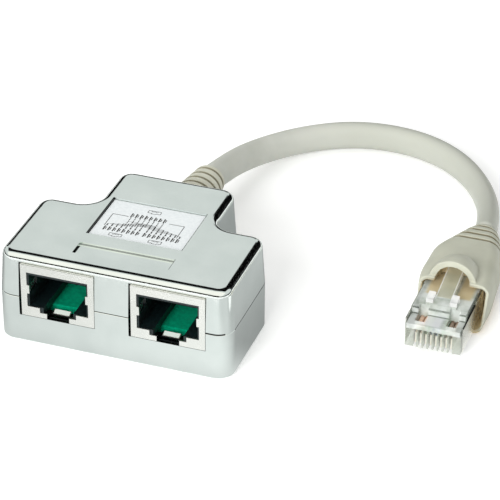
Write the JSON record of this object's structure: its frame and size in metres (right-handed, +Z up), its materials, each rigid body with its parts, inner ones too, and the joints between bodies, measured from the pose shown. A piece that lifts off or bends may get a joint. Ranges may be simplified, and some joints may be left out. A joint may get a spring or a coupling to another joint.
{
  "type": "rj45 splitter adapter",
  "caption": "T-shaped chrome-plated housing with two shielded network sockets in front and a short beige lead from its back that ends in a booted, shielded plug.",
  "frame": {"origin": "on the surface that the housing stands on, below the middle of the housing's box", "axes": "+Z up, the sockets face -Y, +X along the row of sockets towards the plug"},
  "size_m": [0.089, 0.099, 0.0193],
  "materials": {
    "chrome_plated_abs": "bright chrome plating on moulded ABS",
    "white_paper": "matt white label with grey print",
    "green_laminate": "green solder mask",
    "nickel_sheet": "folded, nickel-plated",
    "black_moulding": "moulded black",
    "gilt_spring": "gold-plated",
    "beige_vinyl": "soft moulded PVC",
    "beige_sheath": "smooth PVC sheath",
    "clear_polycarbonate": "clear moulded polycarbonate",
    "blue_insulation": "coloured polythene",
    "orange_insulation": "coloured polythene",
    "green_insulation": "coloured polythene",
    "brown_insulation": "coloured polythene"
  },
  "bodies": {
    "root": {"top_shell": "chrome_plated_abs", "bottom_shell": "chrome_plated_abs", "label": "white_paper", "circuit_board": "green_laminate", "socket_shield_left": "nickel_sheet", "socket_shield_right": "nickel_sheet", "socket_body_left": "black_moulding", "socket_body_right": "black_moulding", "contact_comb_left": "black_moulding", "contact_comb_right": "black_moulding", "contact_springs_left": "gilt_spring", "contact_springs_right": "gilt_spring", "wires_blue": "blue_insulation", "wires_orange": "orange_insulation", "wires_green": "green_insulation", "wires_brown": "brown_insulation", "cable_tail": "beige_sheath", "strain_relief": "beige_vinyl", "cable": "beige_sheath", "plug_body": "clear_polycarbonate", "plug_shield": "nickel_sheet", "plug_contacts": "gilt_spring", "plug_load_bar": "clear_polycarbonate", "plug_wires_blue": "blue_insulation", "plug_wires_orange": "orange_insulation", "plug_wires_green": "green_insulation", "plug_wires_brown": "brown_insulation", "plug_sheath": "beige_sheath", "plug_boot": "beige_vinyl"}
  },
  "joints": []
}
